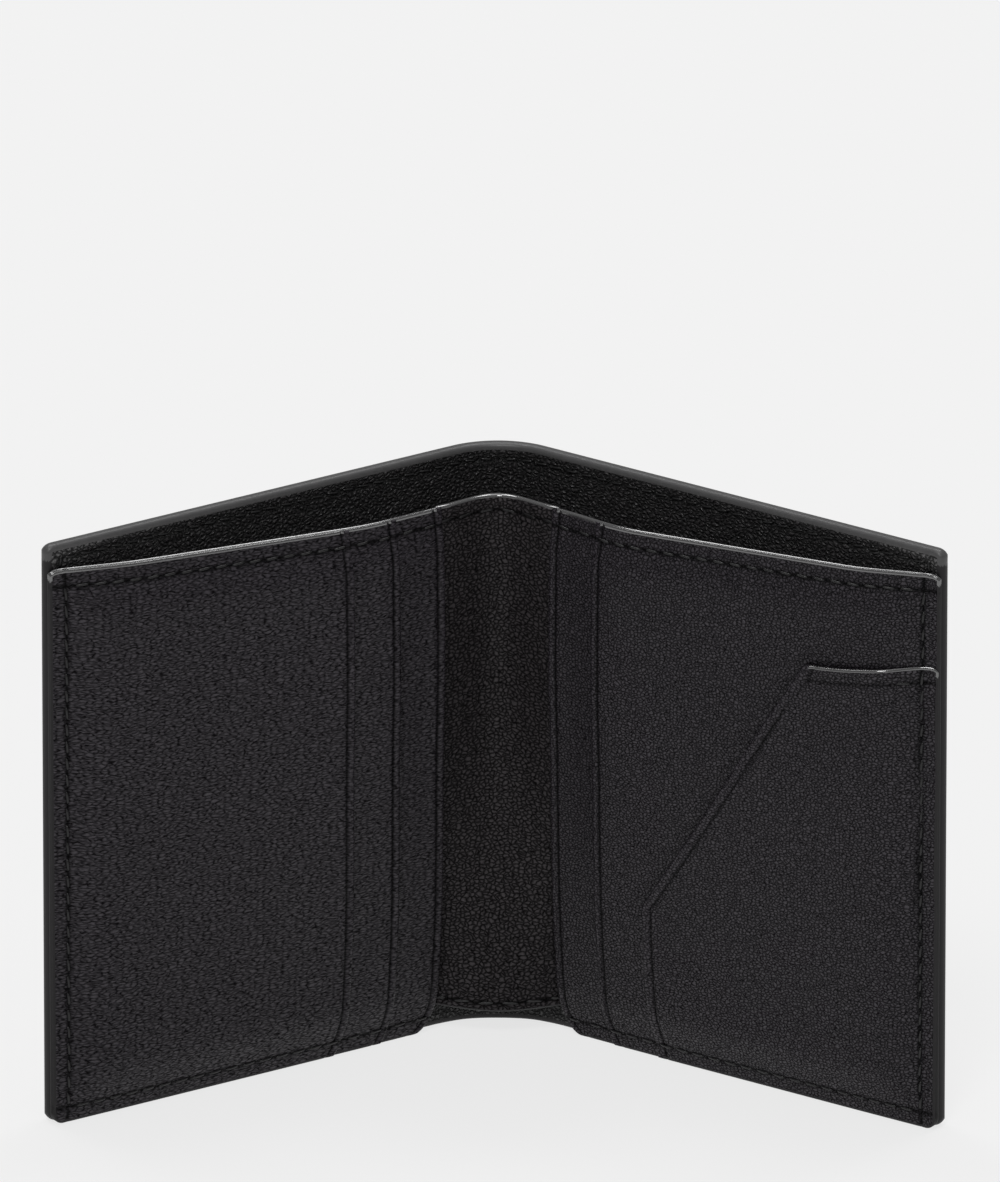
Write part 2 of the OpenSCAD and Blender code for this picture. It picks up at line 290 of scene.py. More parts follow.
def grain_group():
    """Pebbled grain in UV millimetres: cells of a Voronoi pattern, warped by noise, with
    creases where the distance to a cell's edge is small, a fine noise on top and slow
    waves below. Ripple turns the cells into the valleys of a stretched noise, the flat mark
    fades the relief out and Draw stretches the pattern along U and V."""
    number, vector = "NodeSocketFloat", "NodeSocketVector"
    g, given, result = group(
        "LeatherGrain",
        [(number, "Cell", 0.8), (number, "Draw U", 1.0), (number, "Draw V", 1.0), (number, "Depth", 0.1),
         (number, "Ripple", 0.0)],
        [(number, "Crease"), (number, "Patch"), (number, "Line"), (vector, "Normal")])
    uv = node(g, "ShaderNodeUVMap", uv_map="UVMap")
    draw = node(g, "ShaderNodeCombineXYZ", [(0, given.outputs["Draw U"]), (1, given.outputs["Draw V"])])
    draw.inputs[2].default_value = 1.0
    scaled = node(g, "ShaderNodeVectorMath", [(0, uv.outputs[0]), (1, draw.outputs[0])], operation="DIVIDE")
    size = node(g, "ShaderNodeCombineXYZ", [(i, given.outputs["Cell"]) for i in range(3)])
    cells = node(g, "ShaderNodeVectorMath", [(0, scaled.outputs[0]), (1, size.outputs[0])],
                 operation="DIVIDE")
    warp = node(g, "ShaderNodeTexNoise", [("Vector", cells.outputs[0])], Scale=0.62, Detail=3.0)
    push = node(g, "ShaderNodeVectorMath", [(0, warp.outputs["Color"]), (2, cells.outputs[0])],
                operation="MULTIPLY_ADD")
    push.inputs[1].default_value = (1.5, 1.7, 0.0)
    voronoi = node(g, "ShaderNodeTexVoronoi", [("Vector", push.outputs[0])], feature="DISTANCE_TO_EDGE",
               voronoi_dimensions="2D", Scale=1.0)
    pebble = node(g, "ShaderNodeMapRange", [("Value", voronoi.outputs["Distance"])],
                  interpolation_type="SMOOTHSTEP", From_Min=0.0, From_Max=0.4)
    swell = node(g, "ShaderNodeTexNoise", [("Vector", push.outputs[0])], Scale=1.3, Detail=2.0)
    valley = node(g, "ShaderNodeMapRange", [("Value", swell.outputs["Fac"])],
                  interpolation_type="SMOOTHSTEP", From_Min=0.36, From_Max=0.58)
    crease = node(g, "ShaderNodeMix", [("Factor", given.outputs["Ripple"]), ("A", pebble.outputs["Result"]),
                                       ("B", valley.outputs["Result"])], data_type="FLOAT")
    fine = node(g, "ShaderNodeTexNoise", [("Vector", cells.outputs[0])], Scale=1.7, Detail=3.0)
    wave = node(g, "ShaderNodeTexNoise", [("Vector", cells.outputs[0])], Scale=0.3, Detail=1.0)
    low = node(g, "ShaderNodeMath", [(0, wave.outputs["Fac"]), (2, crease.outputs["Result"])],
               operation="MULTIPLY_ADD")
    low.inputs[1].default_value = 1.6
    height = node(g, "ShaderNodeMath", [(0, fine.outputs["Fac"]), (2, low.outputs[0])],
                  operation="MULTIPLY_ADD")
    height.inputs[1].default_value = 0.9
    flat = node(g, "ShaderNodeAttribute", attribute_name="flat")
    keep = node(g, "ShaderNodeMapRange", [("Value", flat.outputs["Fac"])], To_Min=0.001, To_Max=0.0002)
    metres = node(g, "ShaderNodeMath", [(0, given.outputs["Depth"]), (1, keep.outputs["Result"])],
                  operation="MULTIPLY")
    bump = node(g, "ShaderNodeBump", [("Distance", metres.outputs[0]), ("Height", height.outputs[0])],
                Strength=1.0)
    patch = node(g, "ShaderNodeTexNoise", [("Vector", cells.outputs[0])], Scale=0.06, Detail=3.0)
    # The line mark: painted shade in seam grooves, pressed creases and the lining's foot
    line = node(g, "ShaderNodeAttribute", attribute_name="line")
    for socket, source in (("Crease", crease.outputs["Result"]), ("Patch", patch.outputs["Fac"]),
                           ("Line", line.outputs["Fac"]), ("Normal", bump.outputs["Normal"])):
        g.links.new(source, result.inputs[socket])
    return g


GRAIN = grain_group()

# Reflectance facing the eye of a specular level of 1, and the gloss on a pebble's top
REFLECT, PEAK = 0.08, 1.4

# Roughness in a crease, uneven part of the roughness, finish left under painted shade, and the colour of
# painted shade
CREASE_ROUGH, UNEVEN, PAINTED_SHADE_FINISH = 0.8, 0.08, 0.08
PAINTED_SHADE_COLOUR = (0.0006, 0.0006, 0.0007)

# Darkest and lightest tone of a plain material, as shares of its colour
DARKER, LIGHTER = 0.8, 1.2


def leather(name, dark, light, rough, gloss, cell, draw, depth, ripple=0.0, bare=0.15):
    """Leather: dark in the creases, light on the pebbles, roughness uneven in large patches.
    The bare leather has the share bare of the gloss everywhere. The rest is a clear finish,
    cut back in the creases and under the line mark as painted shade; the line mark also paints
    shade into the colour. The coat's reflectance facing the eye is f = REFLECT * gloss * (PEAK - bare),
    from an index of (1 + sqrt(f)) / (1 - sqrt(f))."""
    m = bpy.data.materials.new(name)
    m.use_nodes = True
    nodes, links = m.node_tree.nodes, m.node_tree.links
    shader = nodes["Principled BSDF"]
    grain = nodes.new("ShaderNodeGroup")
    grain.node_tree = GRAIN
    for socket, value in (("Cell", cell), ("Draw U", draw[0]), ("Draw V", draw[1]), ("Depth", depth),
                          ("Ripple", ripple)):
        grain.inputs[socket].default_value = value
    mix = nodes.new("ShaderNodeMix")
    mix.data_type = "RGBA"
    mix.inputs["A"].default_value = (*dark, 1.0)
    mix.inputs["B"].default_value = (*light, 1.0)
    links.new(grain.outputs["Crease"], mix.inputs["Factor"])
    # Painted shade: the line mark darkens the colour towards PAINTED_SHADE_COLOUR
    deep = nodes.new("ShaderNodeMix")
    deep.data_type = "RGBA"
    deep.inputs["B"].default_value = (*PAINTED_SHADE_COLOUR, 1.0)
    links.new(grain.outputs["Line"], deep.inputs["Factor"])
    links.new(mix.outputs["Result"], deep.inputs["A"])
    links.new(deep.outputs["Result"], shader.inputs["Base Color"])
    # Painted shade in the sheen: the coat drops to PAINTED_SHADE_FINISH under the line mark and follows the
    # creases
    clear = node(m.node_tree, "ShaderNodeMapRange", [("Value", grain.outputs["Line"])],
                 To_Min=1.0, To_Max=PAINTED_SHADE_FINISH)
    finish = node(m.node_tree, "ShaderNodeMath",
                  [(0, clear.outputs["Result"]), (1, grain.outputs["Crease"])], operation="MULTIPLY")
    links.new(finish.outputs[0], shader.inputs["Coat Weight"])
    facing = math.sqrt(REFLECT * gloss * (PEAK - bare))
    shader.inputs["Coat IOR"].default_value = (1.0 + facing) / (1.0 - facing)
    shader.inputs["Coat Roughness"].default_value = rough
    shader.inputs["Specular IOR Level"].default_value = bare * gloss
    uneven = node(m.node_tree, "ShaderNodeMapRange", [("Value", grain.outputs["Patch"])],
                  To_Min=rough - UNEVEN, To_Max=rough + UNEVEN)
    dull = node(m.node_tree, "ShaderNodeMix",
                [("Factor", grain.outputs["Crease"]), ("B", uneven.outputs["Result"])],
                data_type="FLOAT", A=CREASE_ROUGH)
    links.new(dull.outputs["Result"], shader.inputs["Roughness"])
    links.new(grain.outputs["Normal"], shader.inputs["Normal"])
    return m


def plain(name, colour, rough, specular, scale, depth):
    """Smooth painted edge or thread: one colour with a slight unevenness."""
    m = bpy.data.materials.new(name)
    m.use_nodes = True
    nodes, links = m.node_tree.nodes, m.node_tree.links
    shader = nodes["Principled BSDF"]
    where = nodes.new("ShaderNodeTexCoord")
    noise = nodes.new("ShaderNodeTexNoise")
    noise.inputs["Scale"].default_value = scale
    noise.inputs["Detail"].default_value = 2.0
    links.new(where.outputs["Object"], noise.inputs["Vector"])
    tone = nodes.new("ShaderNodeMix")
    tone.data_type = "RGBA"
    tone.inputs["A"].default_value = (*[DARKER * c for c in colour], 1.0)
    tone.inputs["B"].default_value = (*[LIGHTER * c for c in colour], 1.0)
    links.new(noise.outputs["Fac"], tone.inputs["Factor"])
    links.new(tone.outputs["Result"], shader.inputs["Base Color"])
    bump = nodes.new("ShaderNodeBump")
    bump.inputs["Distance"].default_value = depth
    links.new(noise.outputs["Fac"], bump.inputs["Height"])
    links.new(bump.outputs["Normal"], shader.inputs["Normal"])
    shader.inputs["Roughness"].default_value = rough
    shader.inputs["Specular IOR Level"].default_value = specular
    return m


# Colours of creases and pebbles; then roughness, gloss, cell, draw, depth and ripple of each leather
DARK, LIGHT = (0.0026, 0.0021, 0.0028), (0.0362, 0.0307, 0.0386)
STRIP_DARK, STRIP_LIGHT = (0.002, 0.0017, 0.0019), (0.0386, 0.0327, 0.0356)
left_leather = leather("leather_left", DARK, LIGHT, 0.48, 0.34, 0.56, (2.3, 0.95), 0.3, 0.36)
right_leather = leather("leather_right", DARK, LIGHT, 0.48, 0.36, 0.58, (1.2, 0.95), 0.26, 0.2)
strip_leather = leather("leather_strip", STRIP_DARK, STRIP_LIGHT, 0.66, 0.36, 0.68, (1.1, 1.05), 0.32,
                        0.15)
outer_leather = leather("leather_outer", DARK, LIGHT, 0.46, 0.4, 0.75, (1.0, 1.0), 0.22, 0.1)
lining = leather("leather_lining", (0.001, 0.001, 0.0012), (0.034, 0.0305, 0.0328), 0.22, 0.85, 0.85,
                 (1.15, 0.95), 0.42, bare=0.6)
edge_paint = plain("edge_paint", (0.0115, 0.0105, 0.0115), 0.5, 0.3, 900.0, 2e-5)
# Painted light: a lighter copy of the edge paint for the cover's top edge, which faces the light
edge_top_painted_light = plain("edge_top_painted_light", (0.06, 0.059, 0.06), 0.42, 0.5, 900.0, 2e-5)
# Glossy edge paint for the top edges of panels, pockets and strip; its colour, lighter than edge_paint's,
# is painted light
edge_gloss_and_painted_light = plain("edge_gloss_and_painted_light", (0.026, 0.025, 0.026), 0.12, 1.0, 900.0, 1e-5)
edge_gloss_and_painted_light.node_tree.nodes["Principled BSDF"].inputs["IOR"].default_value = 1.75
thread = plain("thread", (0.0045, 0.0042, 0.0046), 0.4, 0.45, 2500.0, 5e-5)

SIDES = (("left", False, left_leather), ("right", True, right_leather))


# Cover: one slab for each half, lined inside, with a painted round edge
def cover_grid():
    """Grid of a cover half, finer at the spine, the seams and the edges, with round corners."""
    near, bend = COVER_END - 6.0, COVER_END - CORNER
    t = np.concatenate([ticks(0.0, SPINE_REACH, 0.7), ticks(SPINE_REACH, near, 3.0)[1:],
                        ticks(near, bend, 0.5, COVER_ROW + GROOVE)[1:],
                        bend + CORNER * np.sin(np.linspace(0, math.pi / 2, 12))[1:]])
    low = np.unique(np.concatenate([COVER_RADII[1] * ROUND, SEAM + GROOVE, [1.6, 5.0]]))
    z = np.concatenate([low, ticks(8.0, COVER_H - 8.0, 3.0), COVER_H - low[::-1]])
    T, Z = np.meshgrid(t, z)
    cut = corner_cut(T - bend)
    Z = cut + Z * (COVER_H - 2.0 * cut) / COVER_H
    D = np.minimum(np.minimum(Z - cut, COVER_H - cut - Z), COVER_END - T)
    return T, Z, D


def painted_groove_shade(depth, full):
    """Painted shade in a groove, from its depth: SEAM_PAINTED_SHADE (depth / full)^1.5."""
    return SEAM_PAINTED_SHADE * np.clip(depth / full, 0.0, 1.0) ** 1.5


def cover_face(T, Z):
    """Depth of the cover's inner and outer face, with a groove along each seam."""
    past = 0.3
    rows = np.minimum(np.abs(Z - SEAM), np.abs(Z - COVER_H + SEAM))
    rows = np.where(T < COVER_ROW + past, rows, FAR)
    side = np.where((Z > SEAM - past) & (Z < COVER_H - SEAM + past), np.abs(T - COVER_ROW), FAR)
    return COVER_T / 2.0 - COVER_DEEP * dent(np.minimum(rows, side), SEAM_WIDE)


# Painted shade: the lining darkens by FOOT_PAINTED_SHADE over PAINTED_SHADE_RUN below PAINTED_SHADE_TOP.
# Painted light: the top edge is lighter over COVER_GLEAM
FOOT_PAINTED_SHADE, PAINTED_SHADE_TOP, PAINTED_SHADE_RUN, COVER_GLEAM = 0.92, 16.0, 8.0, 2.5
covers = {}
for name, mirrored, _ in SIDES:
    T, Z, D = cover_grid()
    face = cover_face(T, Z)
    # Painted shade at the lining's foot and in the seam grooves, both carried by the line mark
    painted_shade = FOOT_PAINTED_SHADE * smooth((PAINTED_SHADE_TOP - Z) / PAINTED_SHADE_RUN)
    covers[name] = closed_sheet(f"cover_{name}_half", cover_point, T, Z, face, -face, D, COVER_RADII,
                                [lining, outer_leather, edge_paint, edge_top_painted_light], mirrored,
                                line=np.maximum(painted_groove_shade(COVER_T / 2.0 - face, COVER_DEEP), painted_shade),
                                gleam=Z > COVER_H - COVER_GLEAM)


# Inner panels: divider and pockets, pinched together along their sewn edges
LEVELS = {  # depth from the panel's back: full back, full front, sewn back, sewn front
    0: (0.0, 1.4, -0.28, 0.35), 1: (1.42, 2.2, 0.36, 0.6), 2: (2.22, 3.0, 0.61, 0.85),
    3: (3.02, 3.8, 0.86, 1.15)}

# Distances from the outer, lower and upper edge over which the sewn sheets open to their full depth
PINCH_SIDE, PINCH_FOOT, PINCH_TOP = 10.0, 11.0, 9.0

# The inner edge is drawn in over DRAWN_H from the foot, and the grid with it, over DRAW_RUN from
# DRAW_FROM before that edge
DRAWN_H, DRAW_FROM, DRAW_RUN = 7.0, 14.0, 12.0


def pinch(S, Z, top):
    """0 on the sewn outer, lower and upper edge, rising to 1 inside."""
    side, foot = smooth((S - OUTER) / PINCH_SIDE), smooth((Z - FOOT) / PINCH_FOOT)
    return side * foot * smooth((top - Z) / PINCH_TOP)


def inner_edge(length, z, corner):
    """Length of a sheet at height z, drawn in near the foot by up to corner."""
    return length - corner * (1.0 - round_edge(z - FOOT, DRAWN_H))


def panel_grid(length, top, corner):
    """Grid of a panel sheet: rounded outer corners, inner edge as inner_edge()."""
    s = np.concatenate([OUTER + CORNER * (1.0 - np.cos(np.linspace(0, math.pi / 2, 10))),
                        ticks(1.5, 6.0, 0.75, SIDE_ROW + GROOVE), ticks(6.0, length - 4.0, 2.2)[1:],
                        ticks(length - 4.0, length - 0.5, 0.2)[1:],
                        length - EDGE_RADII[0] * ROUND[::-1][1:]])
    s = np.unique(np.round(s, 4))
    low = np.unique(np.concatenate([0.5 * ROUND, [0.8, 1.3], SEAM + GROOVE, [5.0, 6.0, 7.0]]))
    z = np.concatenate([FOOT + low, ticks(8.5, top - 8.5, 2.4), top - low[::-1]])
    S, Z = np.meshgrid(s, z)
    cut = corner_cut(OUTER + CORNER - S)
    Z = FOOT + cut + (Z - FOOT) * (top - cut / 2.0 - FOOT - cut) / (top - FOOT)
    end = inner_edge(length, Z, corner)
    S = S - (length - end) * smooth((S - length + DRAW_FROM) / DRAW_RUN)
    inward = end - S
    D = np.minimum(np.minimum(Z - FOOT - cut, top - cut / 2.0 - Z), np.minimum(S - OUTER, inward))
    return S, Z, D, inward


def seam_groove(S, Z, top):
    """Depth of the grooves along a panel's outer, lower and upper seam."""
    rows = np.minimum(np.abs(Z - FOOT - SEAM), np.abs(top - SEAM - Z))
    return SEAM_DEEP * dent(np.minimum(np.abs(S - SIDE_ROW), rows), SEAM_WIDE)


def depths(layer, S, Z, top):
    """Front and back of a layer, from its sewn depths at pinch 0 to its full ones at pinch 1."""
    p = pinch(S, Z, top)
    b0, f0, b1, f1 = LEVELS[layer]
    return f1 + (f0 - f1) * p, b1 + (b0 - b1) * p


# Crease pressed along a pocket's open edge: distance from the edge, depth, painted shade in it, and its
# width
CREASE_IN, CREASE_DEEP, CREASE_PAINTED_SHADE, CREASE_WIDE = 1.5, 0.22, 0.95, 0.26

# Height of the edge beyond the crease, height and width of the lip that stands off, widths of the
# unpainted edge and of the smooth band past the crease, and height of the glossy band on a top edge, whose
# lighter colour is painted light
BEAD, LIP, LIP_WIDE = 0.06, 0.35, 6.0
UNPAINTED, BAND, TOP_GLEAM = 1.0, 0.2, 1.5


def panel_sheet(name, layer, length, top, mats, side, corner, creased):
    """Divider (layer 0) or pocket. A pocket has a pressed crease along its open inner edge, darkened with
    painted shade.
    """
    S, Z, D, inward = panel_grid(length, top, corner)
    front, back = depths(layer, S, Z, top)
    groove = seam_groove(S, Z, top)
    # Painted shade in the seam grooves, carried by the line mark
    line, flat = painted_groove_shade(groove, SEAM_DEEP), np.zeros_like(S)
    if creased:
        press = dent(inward - CREASE_IN, CREASE_WIDE)
        groove = groove + CREASE_DEEP * press - BEAD * smooth((1.3 - inward) / 0.5)
        # The crease is darkened by painted shade, carried by the line mark
        line, flat = np.maximum(line, CREASE_PAINTED_SHADE * press), smooth((CREASE_IN + BAND - inward) / 0.3)
        middle = smooth((Z - 8.0) / 20.0) * smooth((top - 6.0 - Z) / 20.0)
        lift = LIP * smooth((LIP_WIDE - inward) / LIP_WIDE) * middle
        front, back = front + lift, back + lift
    return closed_sheet(name, panel_place(side), S, Z, front - groove, back, D, EDGE_RADII, mats,
                        side == "right", bare=inward < UNPAINTED, line=line, flat=flat,
                        gleam=Z > top - TOP_GLEAM)


panels = {"left": [], "right": []}
plan = {"left": (("left_back_pocket", 1, PANEL), ("left_middle_pocket", 2, PANEL - STEP),
                 ("left_front_pocket", 3, PANEL - 2 * STEP)),
        "right": (("right_back_pocket", 1, PANEL), ("right_front_pocket", 2, PANEL - STEP))}
for name, mirrored, skin in SIDES:
    mats = [skin, lining, edge_paint, edge_gloss_and_painted_light]
    ob = panel_sheet(f"divider_{name}_sheet", 0, PANEL, PANEL_TOP, mats, name, 4.0, False)
    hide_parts(f"divider_{name}", f"bill_lining_{name}")
    panels[name].append(ob)
    for cad, layer, length in plan[name]:
        ob = panel_sheet(cad + "_sheet", layer, length, PANEL_TOP - 0.02 * layer,
                         [skin, skin, edge_paint, edge_gloss_and_painted_light],
                         name, 4.0 if layer == 1 else 1.6, True)
        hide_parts(cad)
        panels[name].append(ob)


def slip_edge(z):
    """Width of the slip pocket at height z: full below the cut corner, then a straight slant."""
    return SLIP_W - (SLIP_W - SLIP_TOP_W) * np.clip((z - SLIP_CUT) / (SLIP_H - SLIP_CUT), 0.0, 1.0)


# The slip pocket's own crease (place, depth and the painted shade in it) and lip, the sag of its top edge
# and of the stitches under it
SLIP_IN, SLIP_DEEP, SLIP_PAINTED_SHADE, SLIP_LIP, SLIP_LIP_WIDE = 1.8, 0.2, 0.9, 0.7, 7.0
SLIP_SAG, ROW_SAG = 1.2, 1.1


def slip_sag(s):
    """Share of its sag that the slip pocket's top edge has at s from the outer seam."""
    return smooth((s - 2.0) / 22.0)


def slip_sheet():
    """Slip pocket: rows of points from the outer edge to slip_edge(), at even shares of the row's
    width and at near and far, which are distances from its two ends on a row of a usual width.
    A lip stands off along both open edges, and the top edge sags. Its crease and seam grooves are darkened
    with painted shade."""
    near = np.concatenate([CORNER * (1.0 - np.cos(np.linspace(0, math.pi / 2, 10))),
                           [2.4, 2.7, 2.9, 3.2, 3.6]])
    far = np.array([0.0, 0.03, 0.12, 0.24, 0.4, 0.7, 1.0, 1.3, 1.6, 1.9, 2.2, 2.6, 3.2])
    shares = np.unique(np.concatenate([ticks(0.0, 1.0, 0.03), near / 56.0, 1.0 - far / 50.0]))
    low = np.unique(np.concatenate([0.5 * ROUND, [0.8, 1.3], SEAM + GROOVE, [5.0]]))
    z = np.concatenate([FOOT + low, ticks(7.5, SLIP_H - 7.5, 2.0, SLIP_CUT + np.array([-0.6, 0.0, 0.6])),
                        SLIP_H - low[::-1]])
    share, Z = np.meshgrid(shares, z)
    width = slip_edge(Z)
    slope = (SLIP_W - SLIP_TOP_W) / (SLIP_H - SLIP_CUT)
    lean = np.where(Z > SLIP_CUT, math.sqrt(1.0 + slope * slope), 1.0)
    S = OUTER + share * (width - OUTER)
    cut = corner_cut(OUTER + CORNER - S)
    Z = FOOT + cut + (Z - FOOT) * (SLIP_H - cut / 2.0 - FOOT - cut) / (SLIP_H - FOOT)
    inward = (width - S) / lean
    D = np.minimum(np.minimum(Z - FOOT - cut, SLIP_H - cut / 2.0 - Z), np.minimum(S - OUTER, inward))
    front, back = depths(3, S, Z, NO_TOP)
    rows = np.minimum(np.abs(S - SIDE_ROW), np.abs(Z - FOOT - SEAM))
    top_row = 0.1 * dent(SLIP_H - SEAM - Z, SEAM_WIDE) * (S < SLIP_TOP_W)
    dip = SEAM_DEEP * dent(rows, SEAM_WIDE) + top_row
    press = dent(inward - SLIP_IN, CREASE_WIDE)
    # Painted shade in the crease and the seam grooves, carried by the line mark
    line = np.maximum(painted_groove_shade(dip, SEAM_DEEP), SLIP_PAINTED_SHADE * press)
    flat = smooth((SLIP_IN + BAND - inward) / 0.3)
    lip = np.maximum(smooth((SLIP_LIP_WIDE - inward) / SLIP_LIP_WIDE),
                     smooth((Z - SLIP_H + SLIP_LIP_WIDE) / SLIP_LIP_WIDE))
    lift = SLIP_LIP * lip * smooth((Z - 6.0) / 16.0) * smooth((S - 2.5) / 8.0)
    front, back = front - dip - SLIP_DEEP * press + lift, back + lift
    sagged = Z - SLIP_SAG * slip_sag(S) * smooth((Z - 70.0) / 20.0)
    return closed_sheet("slip_pocket_sheet", panel_place("right"), S, sagged, front, back, D, EDGE_RADII,
                        [right_leather, right_leather, edge_paint, edge_gloss_and_painted_light], True,
                        bare=inward < UNPAINTED, line=line, flat=flat, gleam=Z > SLIP_H - TOP_GLEAM)


ob = slip_sheet()
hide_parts("slip_pocket")
panels["right"].append(ob)


# Strip across the spine: two halves that meet on a straight middle line, where it creases

# Height of its lower edge, its stitch row above that, and half its thickness
STRIP_LOW, STRIP_ROW, STRIP_HALF_T = 5.3, 1.8, 0.7

# Where a half meets the panel: how far in, how far behind the panel's back, and how much more
# behind and how far in its tucked end gets
END_IN, BEHIND, TUCK_BEHIND, TUCK = 0.3, 0.75, 1.3, 6.0

# Parameter at the tucked end, and millimetres of leather to one unit of the parameter
STRIP_END, STRIP_UNIT = -1.9, 10.0

# Y of the middle line at the ground, and its slope with the height
MIDDLE_Y, MIDDLE_SLOPE = 17.3, -0.0419


def strip_point(a, q, z):
    """Left half of the strip: a from -1 at the panel's end to 0 on the middle line,
    y = end + (middle - end) arch(a) with arch = 0.3 (1 + cos(pi a)) + 0.4 (1 - a^2), and for
    a < -1 tucked behind the panel, further from it and deeper with the height. It sags a
    little at its foot and where it is tucked in at the top. q is forward from its middle."""
    a, q, z = np.broadcast_arrays(a, q, z)
    high = smooth((z - 6.0) / 24.0)
    end = panel_point(np.full_like(z, PANEL - END_IN), np.full_like(z, -BEHIND), z)
    deep = panel_point(PANEL - TUCK * (0.2 + 0.8 * high), -BEHIND - TUCK_BEHIND * high, z)
    b = np.clip(-a, 0.0, 1.0)
    out = np.clip(-a - 1.0, 0.0, None)[..., None]
    arch = 0.6 * (0.5 + 0.5 * np.cos(math.pi * b)) + 0.4 * (1.0 - b * b)
    y = end[..., 1] + (MIDDLE_Y + MIDDLE_SLOPE * z - end[..., 1]) * arch
    foot_sag = 0.6 * (1.0 - b * b) * smooth((30.0 - z) / 25.0)
    top_sag = 1.2 * smooth(out[..., 0] / 0.35) * smooth((z - 90.0) / 15.0)
    flat = np.stack([end[..., 0] * b, y - q, z + (-foot_sag - top_sag)], -1)
    return flat + (deep - end) * out * np.array([1.0, 1.0, 0.0])


def strip(name, mirrored):
    """Half of the strip, as a sheet over strip_point()."""
    a = np.concatenate([[STRIP_END, -1.6, -1.3], ticks(-1.1, 0.0, 0.05)])
    low = np.unique(np.concatenate([0.5 * ROUND, [0.7], STRIP_ROW + 0.8 * GROOVE, [3.4]]))
    top = np.unique(np.concatenate([0.5 * ROUND, [1.0], SEAM + GROOVE]))
    z = np.concatenate([STRIP_LOW + low, ticks(STRIP_LOW + 5.0, PANEL_TOP - 6.0, 2.4),
                        PANEL_TOP - top[::-1]])
    A, Z = np.meshgrid(a, z)
    D = np.minimum(np.minimum(Z - STRIP_LOW, PANEL_TOP - Z), (A - STRIP_END) * 5.0)
    rows = np.minimum(np.abs(Z - STRIP_LOW - STRIP_ROW), np.abs(PANEL_TOP - SEAM - Z))
    dip = SEAM_DEEP * dent(rows, 0.45)
    # The line mark paints shade into the seam grooves
    return closed_sheet(f"divider_spine_{name}_strip",
                        lambda s, q, zz: strip_point(s / STRIP_UNIT, q, zz), A * STRIP_UNIT, Z,
                        STRIP_HALF_T - dip, np.full_like(dip, -STRIP_HALF_T), D, STRIP_RADII,
                        [strip_leather, lining, edge_paint, edge_gloss_and_painted_light], mirrored,
                        line=painted_groove_shade(dip, SEAM_DEEP), gleam=Z > PANEL_TOP - TOP_GLEAM)


strips = {}
for name, mirrored, _ in SIDES:
    strips[name] = [strip(name, mirrored)]
    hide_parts("divider_spine", "divider_spine_lining")


# Stitches: length, half width and half height of the thread, and how far a row is sunk in its groove
STITCH, THREAD_WIDE, THREAD_HIGH, SUNK = 2.4, 0.27, 0.24, 0.1

# How much a stitch thins at its ends, how far they lie aslant, its rise and how deep its ends are
THIN, ASLANT, RISE, DIP = 0.93, 0.12, 0.16, 0.12

# Heights of a panel's lower and upper row, where a row starts, and its gaps next to a pocket's edge
LOW_ROW, HIGH_ROW, ROW_START = FOOT + SEAM, PANEL_TOP - SEAM, SIDE_ROW + 1.4
AFTER_EDGE, BEFORE_EDGE = 0.3, 0.4


def stitch_tubes(name, runs, mirrored=False):
    """Runs are (first, last, place): place(at, side, up) gives the point that lies at along the
    seam, side across it and up above the leather. Each stitch is a tube with n x k points whose
    middle line rises as (1 - t^4), t from -1 to 1, and dips into its holes at both ends."""
    n, k = 9, 8
    t = np.linspace(-1.0, 1.0, n)
    ring = np.arange(k) * 2.0 * math.pi / k
    taper = np.sqrt(1.0 - THIN * t ** 6)
    verts, quads, base = [], [], 0
    for first, last, place in runs:
        count = max(1, int((last - first) / PITCH))
        mid = first + (np.arange(count) + 0.5) * (last - first) / count
        thin, far = taper[None, :, None], t[None, :, None]
        along = mid[:, None, None] + 0.5 * STITCH * far + 0.0 * ring
        side = THREAD_WIDE * thin * np.cos(ring) + ASLANT * far + 0.0 * along
        up = RISE * (1.0 - far ** 4) - DIP + THREAD_HIGH * thin * np.sin(ring) + 0.0 * along
        pts = place(along, side, up)
        i = np.arange(count * n * k).reshape(count, n, k)
        j = np.roll(i, -1, axis=2)
        q = np.stack([i[:, :-1], i[:, 1:], j[:, 1:], j[:, :-1]], -1).reshape(-1, 4)
        near = [i[:, 0][:, c] for c in ([0, 1, 2, 3], [3, 4, 5, 0], [5, 6, 7, 0])]
        away = [i[:, -1][:, c] for c in ([3, 2, 1, 0], [0, 5, 4, 3], [0, 7, 6, 5])]
        caps = np.concatenate(near + away)
        verts.append(pts.reshape(-1, 3))
        quads.append(np.concatenate([q, caps])[:, ::-1] + base)
        base += count * n * k
    verts, quads = np.concatenate(verts), np.concatenate(quads)
    return mesh_object(name, verts, quads, np.zeros((len(verts), 2)), np.zeros(len(quads)), [thread],
                       mirrored)


def up_run(first, last, s, layer, top, side_name):
    """Run up a panel at s from its outer seam, on the front of a layer."""
    def place(at, side, up):
        front = depths(layer, np.full_like(at, s), at, top)[0]
        return panel_point(s - side, front - SUNK + up, at, BULGE[side_name])
    return first, last, place


def along_run(first, last, z, layer, top, side_name, sag=0.0):
    """Run along a panel at height z, on the front of a layer."""
    def place(at, side, up):
        front = depths(layer, at, np.full_like(at, z), top)[0]
        return panel_point(at, front - SUNK + up, z + side - sag * slip_sag(at), BULGE[side_name])
    return first, last, place


def cover_run(first, last, z, way):
    """Run along the cover at height z, inside for a way of 1 and outside for -1."""
    face = COVER_T / 2.0 - SUNK
    return first, last, lambda at, side, up: cover_point(at, way * (face + up), z + way * side)


def cover_up(first, last, t, way):
    """Run up the cover at t from the spine's middle, inside for a way of 1 and outside for -1."""
    face = COVER_T / 2.0 - SUNK
    return first, last, lambda at, side, up: cover_point(t - way * side, way * (face + up), at)


